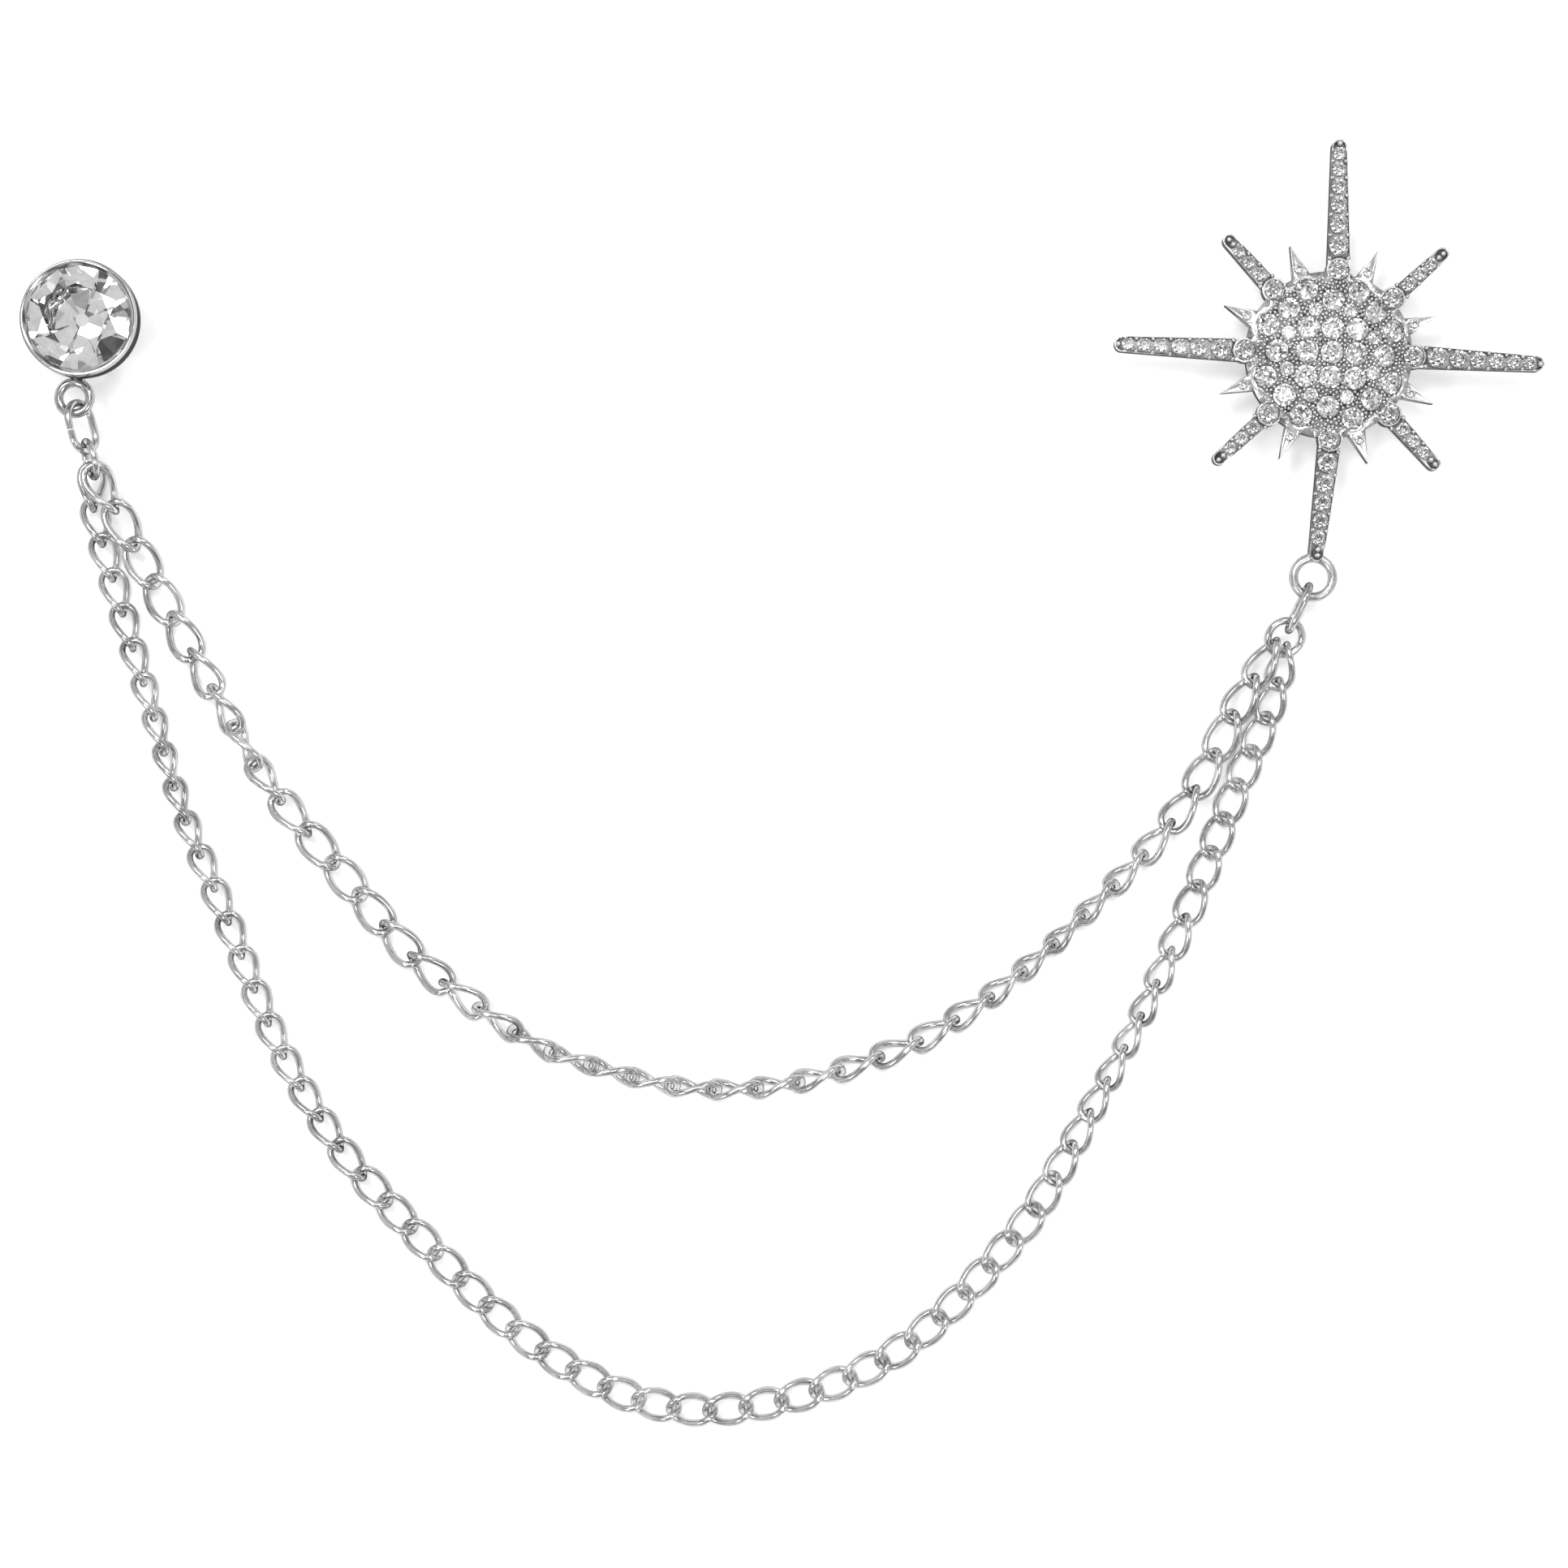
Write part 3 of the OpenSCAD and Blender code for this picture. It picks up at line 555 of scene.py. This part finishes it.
def solder_tab(start, ahead, length, width, height):
    """A short bar with rounded long edges, from a start point."""
    side = Vector((0, 0, 1)).cross(ahead)
    soft = 0.45 * height
    outline = []
    for k in range(20):
        a = 2 * math.pi * (k + 0.5) / 20
        outline.append(side * (math.copysign(width / 2 - soft, math.cos(a)) + soft * math.cos(a))
                       + Vector((0, 0, math.copysign(height / 2 - soft, math.sin(a)) + soft * math.sin(a))))
    points = [start + p for p in outline] + [start + ahead * length + p for p in outline]
    faces = [(k, (k + 1) % 20, 20 + (k + 1) % 20, 20 + k) for k in range(20)]
    return points, faces + [tuple(range(20)), tuple(range(20, 40))]


tab_h = 0.7 * EYE_WIRE
tab = solder_tab(stud_eye + way * (STUD_EYE_D / 2 - tab_h) * MM, way, (tab_h + 2 * STUD_EYE_GAP) * MM,
                 STUD_TAB_W * MM, tab_h * MM)
metal_piece("stud_bezel", joined(cup, eye, tab), bezel_silver, "stud_cup")


# ---------- rings, joining links and backs ----------
def split_wire(name, node, line):
    """A wire ring bent from one piece, with its ends butted together."""
    metal_piece(name, tube(line, RING_WIRE / 2 * MM, False, 18), chain_silver, node)


def round_ring(name, node, towards):
    """The round ring, with its split off to one side."""
    middle, axes = pose_of(loose_parts(node)[0])
    middle, up = Vector(middle), Vector(axes[:, 2])
    ahead = towards - middle
    ahead = (ahead - up * ahead.dot(up)).normalized()
    side = up.cross(ahead)
    r = (RING_D - RING_WIRE) / 2 * MM
    line = [middle + r * (math.cos(a) * ahead + math.sin(a) * side)
            for a in (math.radians(92 + (356 * k / 72)) for k in range(73))]
    split_wire(name, node, line)


def oval_ring(name, node):
    """The oval joining link, split in the middle of one straight side."""
    middle, axes = pose_of(loose_parts(node)[0])
    middle, ahead, side = Vector(middle), Vector(axes[:, 0]), Vector(axes[:, 1])
    r = (JOINER_W - RING_WIRE) / 2
    straight = (JOINER_LEN - RING_WIRE) / 2 - r
    bends = [math.pi * k / 24 for k in range(1, 24)]
    flat = [(SPLIT_W / 2, r), (straight, r)]
    flat += [(straight + r * math.sin(a), r * math.cos(a)) for a in bends]
    flat += [(straight, -r), (0, -r), (-straight, -r)]
    flat += [(-straight - r * math.sin(a), -r * math.cos(a)) for a in bends]
    flat += [(-straight, r), (-SPLIT_W / 2, r)]
    line = [middle + (x * ahead + y * side) * MM for x, y in flat]
    split_wire(name, node, line)


stud_joint = Vector(pose_of(loose_parts("stud_joiner")[0])[0])
star_joint = Vector(pose_of(loose_parts("star_joiner")[0])[0])
round_ring("stud_jump_ring", "stud_ring", stud_joint)
round_ring("star_jump_ring", "star_ring", star_joint)
oval_ring("stud_oval_link", "stud_joiner")
oval_ring("star_oval_link", "star_joiner")


def tack(name, node):
    """Post with its pad above and a round clutch pushed on below."""
    low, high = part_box(node)
    middle = ((low.x + high.x) / 2, (low.y + high.y) / 2, low.z)
    shape = lathe(rounded([
        (0, 0, 0), (3.3, 0, 0.1), (3.5, 0.12, 0.1), (3.9, 0.12, 0.1), (4.1, 0, 0.1), (4.6, 0, 0.25),
        (4.9, 0.5, 0.2), (4.9, 1.7, 0.2), (4.5, 2.15, 0.2), (3.4, 2.2, 0.1), (2.9, 1.95, 0.3),
        (1.6, 1.95, 0.2), (1.2, 2.3, 0.1), (1.1, 2.5, 0.1), (0.6, 2.5, 0), (0.6, 2.85, 0),
        (2.3, 2.85, 0.1), (2.5, 3.0, 0.05), (2.5, 3.15, 0), (0, 3.15, 0)]), middle, 72)
    metal_piece(name, shape, back_silver, node)


tack("stud_clutch", "stud_tack")
tack("star_clutch", "star_tack")


# ---------- star ----------
low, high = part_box("star_tack")
star_mid = Vector(((low.x + high.x) / 2, (low.y + high.y) / 2, BACK_Z * MM))


def dome_top(reach):
    """Height of the dome above the star's back, at a distance from its middle."""
    return DOME_H - DOME_BALL_R + math.sqrt(DOME_BALL_R ** 2 - reach ** 2)


def star_metal():
    """The star's metal, sunk between the stones so that each one stands in its own rim; the sunk faces get a
    darker grey, painted shade in the recesses.
    """
    mesh = nodes["star_body"].data.copy()
    bm = bmesh.new()
    bm.from_mesh(mesh)
    bmesh.ops.remove_doubles(bm, verts=bm.verts, dist=ONE_POINT)
    sunk = set()
    for vert in bm.verts:
        place = (vert.co - star_mid) / MM
        reach = math.hypot(place.x, place.y)
        if reach < DOME_R - DOME_EDGE and abs(place.z - dome_top(reach)) < 0.012:
            sink = DOME_SINK * min(1, (DOME_R - DOME_EDGE - reach) / SINK_SLOPE)
            out = Vector((place.x, place.y, place.z - DOME_H + DOME_BALL_R)).normalized()
            vert.co -= out * sink * MM
            sunk.add(vert)
        elif abs(place.z - RAY_FLOOR) < 0.004:
            vert.co.z -= RAY_SINK * MM
            sunk.add(vert)
    mesh.materials.clear()
    mesh.materials.append(star_silver)
    mesh.materials.append(recess_silver_painted_shade)
    # Faces sunk all round take the darker grey: painted shade between the stones.
    for face in bm.faces:
        face.material_index = int(all(vert in sunk for vert in face.verts))
    bm.to_mesh(mesh)
    bm.free()
    mesh.name = "star_metal"
    shade(mesh, 30)
    piece = new_piece("star_metal", mesh)
    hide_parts("star_body")
    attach(piece, "root")


def gap_beads(round_stones, reach, least, most):
    """Beads in the gaps between round stones, the widest gap first: (x, y, radius)."""
    step, apart = 0.05, 0.03
    steps = np.arange(-reach, reach, step)
    x, y = np.meshgrid(steps, steps)
    room = reach - np.hypot(x, y)
    for at_x, at_y, r in round_stones:
        room = np.minimum(room, np.hypot(x - at_x, y - at_y) - r)
    beads = []
    while room.max() > least:
        k = room.argmax()
        r = min(room.flat[k], most)
        beads.append((x.flat[k], y.flat[k], r))
        room = np.minimum(room, np.hypot(x - x.flat[k], y - y.flat[k]) - r - apart)
    return beads


def channel_beads(plan):
    """Beads that fill the channel of each ray past its last stone: (place, radius)."""
    most, first_gap, taper, sink = 4, 0.38, 0.04, 0.02
    bm = bmesh.new()
    bm.from_mesh(nodes["star_body"].data)
    ground = BVHTree.FromBMesh(bm)
    bm.free()
    beads = []
    for p, half in plan:
        reach = math.hypot(p.x, p.y)
        ahead = Vector((p.x, p.y, 0)).normalized()
        further = [q for q, _ in plan if math.hypot(q.x, q.y) > reach + 0.2
                   and (Vector((q.x, q.y, 0)).normalized() - ahead).length < 0.12]
        if reach < DOME_R or half < 0.3 or further:
            continue
        for k in range(most):
            spot = star_mid + (Vector((p.x, p.y, 0)) + ahead * (half + first_gap + END_BEAD_STEP * k)) * MM
            hit = ground.ray_cast(spot + Vector((0, 0, 0.01)), Vector((0, 0, -1)))[0]
            if hit is None or abs((hit.z - star_mid.z) / MM - RAY_FLOOR) > 0.02:
                break
            beads.append((hit - Vector((0, 0, sink * MM)), (END_BEAD_R - taper * k) * MM))
    return beads


def star_beads():
    """Small raised beads that hold the stones: in the dome's gaps, and in pairs along the rays; their lighter
    grey is painted highlight.
    """
    plan = [((Vector(p) - star_mid) / MM, size / MM / 2) for p, _, size in dome_poses + ray_poses]
    places, turns, sizes = [], [], []
    round_stones = [(p.x, p.y, half + 0.05) for p, half in plan]
    for x, y, r in gap_beads(round_stones, DOME_R - 0.35, DOME_BEAD_LEAST, DOME_BEAD_MOST):
        up = Vector((x, y, dome_top(math.hypot(x, y)) - DOME_H + DOME_BALL_R)).normalized()
        places.append(star_mid + (Vector((x, y, dome_top(math.hypot(x, y)))) - up * 0.2) * MM)
        turns.append(np.array(up.to_track_quat("Z", "Y").to_matrix()))
        sizes.append((r + 0.03) * MM)
    rays = sorted(((p, half) for p, half in plan if math.hypot(p.x, p.y) > DOME_R and half > 0.5),
                  key=lambda s: math.hypot(s[0].x, s[0].y))
    for i, (p, half) in enumerate(rays):
        for q, next_half in rays[i + 1:]:
            step = q - p
            if step.length > half + next_half + 0.5:
                continue
            side = Vector((-step.y, step.x, 0)).normalized()
            middle = p + step * ((half + 0.5 * (step.length - half - next_half)) / step.length)
            for hand in (1, -1):
                spot = middle + side * hand * ((half + next_half) / 2 - 0.06)
                places.append(star_mid + Vector((spot.x, spot.y, RAY_TOP - 0.1)) * MM)
                turns.append(np.eye(3))
                sizes.append(RAY_BEAD_R * MM)
    for spot, size in channel_beads(plan):
        places.append(spot)
        turns.append(np.eye(3))
        sizes.append(size)
    piece = repeat("star_beads", bead_tree(), places, turns, sizes,
                   {"Height": 1.35, "Material": bead_silver_painted_highlight})
    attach(piece, "root")


star_metal()
star_beads()


# ---------- table, light and camera ----------
def studio():
    """A white table in a soft, patchy white room, with the main light from the upper left."""
    mesh = bpy.data.meshes.new("table")
    half = 1.5
    corners = [(-half, -half, 0), (half, -half, 0), (half, half, 0), (-half, half, 0)]
    mesh.from_pydata(corners, [], [(0, 1, 2, 3)])
    paper = bpy.data.materials.new("white table")
    paper.use_nodes = True
    tree = paper.node_tree
    board = tree.nodes["Principled BSDF"]
    board.inputs["Roughness"].default_value = 0.9
    board.inputs["Emission Color"].default_value = (1, 1, 1, 1)
    board.inputs["Emission Strength"].default_value = 0.24
    place = put(tree, "ShaderNodeTexCoord").outputs["Object"]
    mottle = put(tree, "ShaderNodeTexNoise", Vector=place, Scale=60.0, Detail=2.0)
    colour = put(tree, "ShaderNodeValToRGB", Fac=mottle.outputs[0])
    colour.color_ramp.elements[0].color = (0.93, 0.93, 0.93, 1)
    colour.color_ramp.elements[1].color = (0.95, 0.95, 0.95, 1)
    feed(tree, board, "Base Color", colour.outputs[0])
    table = new_piece("table", mesh, paper)

    def softbox(name, at, size, power):
        light = bpy.data.lights.new(name, "AREA")
        light.shape, light.size, light.energy = "DISK", size, power
        lamp = bpy.data.objects.new(name, light)
        lamp.location = at
        lamp.rotation_euler = (-Vector(at)).to_track_quat("-Z", "Y").to_euler()
        bpy.context.scene.collection.objects.link(lamp)

    for name, turn, rise, size, power in (
            ("upper left light", 130, 62, 0.3, 3.0), ("upper right light", 48, 52, 0.26, 1.5),
            ("lower left light", 222, 52, 0.26, 1.5), ("lower right light", 318, 56, 0.26, 1.3),
            ("top light", 75, 79, 0.2, 0.6)):
        turn, rise = math.radians(turn), math.radians(rise)
        at = (math.cos(turn) * math.cos(rise), math.sin(turn) * math.cos(rise), math.sin(rise))
        softbox(name, at, size, power)

    world = bpy.data.worlds.new("room")
    bpy.context.scene.world = world
    world.use_nodes = True
    tree = world.node_tree
    way = put(tree, "ShaderNodeTexCoord").outputs["Generated"]
    way = put(tree, "ShaderNodeMapping", Vector=way, Location=(7.1, 2.3, 4.4)).outputs[0]
    patches = put(tree, "ShaderNodeTexNoise", Vector=way, Scale=3.4, Detail=1.0)
    level = spread(tree, patches.outputs[0], 0.4, 0.5, 0.1, 0.86)
    sky = tree.nodes["Background"]
    sky.inputs["Color"].default_value = (1, 1, 1, 1)
    seen = put(tree, "ShaderNodeLightPath").outputs["Is Camera Ray"]
    feed(tree, sky, "Strength", maths(tree, "MAXIMUM", level, seen))

    lens = bpy.data.cameras.new("camera")
    lens.sensor_width, lens.lens = 36, 89.6
    lens.clip_start, lens.clip_end = 0.01, 10
    camera = bpy.data.objects.new("camera", lens)
    camera.location = (0, 0, 0.4)
    bpy.context.scene.collection.objects.link(camera)
    bpy.context.scene.camera = camera
    bpy.context.scene.view_settings.view_transform = "Standard"
    path = getattr(bpy.context.scene, "cycles", None)
    if path:
        path.max_bounces, path.glossy_bounces, path.transmission_bounces = 14, 10, 14


studio()
